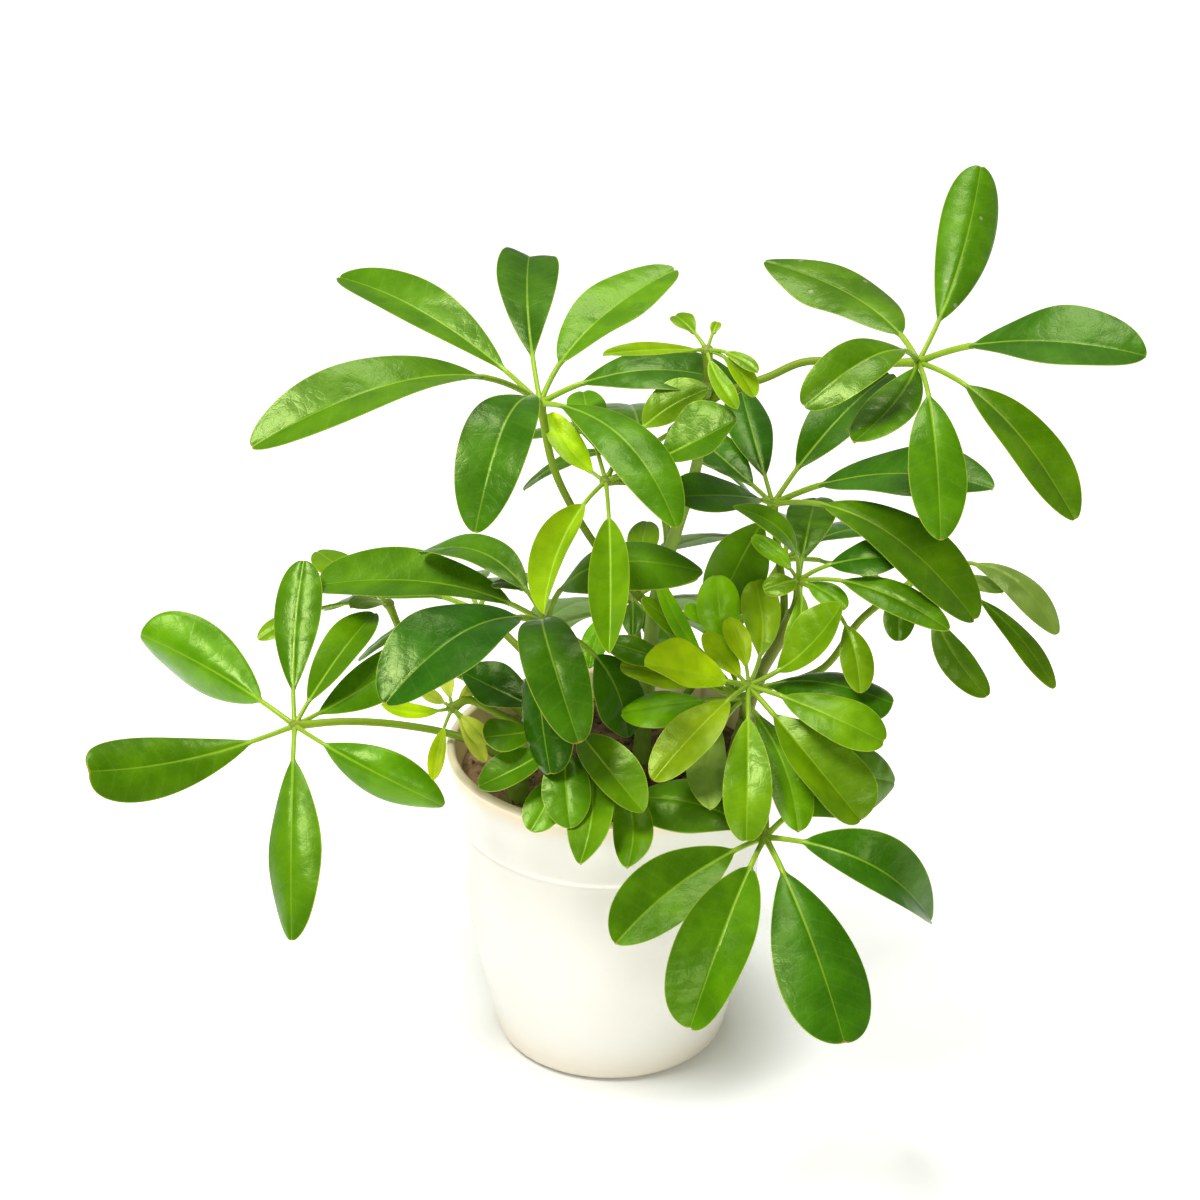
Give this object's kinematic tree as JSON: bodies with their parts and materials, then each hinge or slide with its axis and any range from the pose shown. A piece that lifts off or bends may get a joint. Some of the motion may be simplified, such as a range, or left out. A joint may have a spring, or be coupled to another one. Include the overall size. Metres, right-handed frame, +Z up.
{
  "type": "potted umbrella plant",
  "caption": "Bushy umbrella plant with compound leaves on thin woody stems, growing in a round ivory pot with a collar and filled with soil.",
  "frame": {"origin": "centre of the pot's flat base", "axes": "+Z up along the pot's axis, -Y towards the front of the plant as the picture shows it, +X to the right of that view"},
  "size_m": [0.3634, 0.2889, 0.3103],
  "materials": {
    "pot": "satin",
    "soil": "matte",
    "stem": "satin",
    "leaf_mature": "satin",
    "leaf_young": "satin"
  },
  "bodies": {
    "root": {"pot": "pot", "soil": "soil", "stem_main": "stem", "stem_right": "stem", "stem_left": "stem", "leaf_top_left": "leaf_mature", "leaf_top_right": "leaf_mature", "leaf_low_left": "leaf_mature", "leaf_low_right": "leaf_mature", "leaf_young_front": "leaf_young", "leaf_old_front": "leaf_mature", "leaf_right": "leaf_mature", "leaf_right_inner": "leaf_mature", "leaf_far_right": "leaf_mature", "leaf_young_top": "leaf_young", "leaf_tip": "leaf_young", "leaf_left": "leaf_mature", "leaf_shoot": "leaf_young", "leaf_far_left": "leaf_mature", "leaf_over_rim": "leaf_mature", "leaf_middle": "leaf_mature", "leaf_back_top": "leaf_mature", "leaf_back_right": "leaf_mature", "leaf_back_left": "leaf_mature", "leaf_back_low": "leaf_mature"}
  },
  "joints": []
}
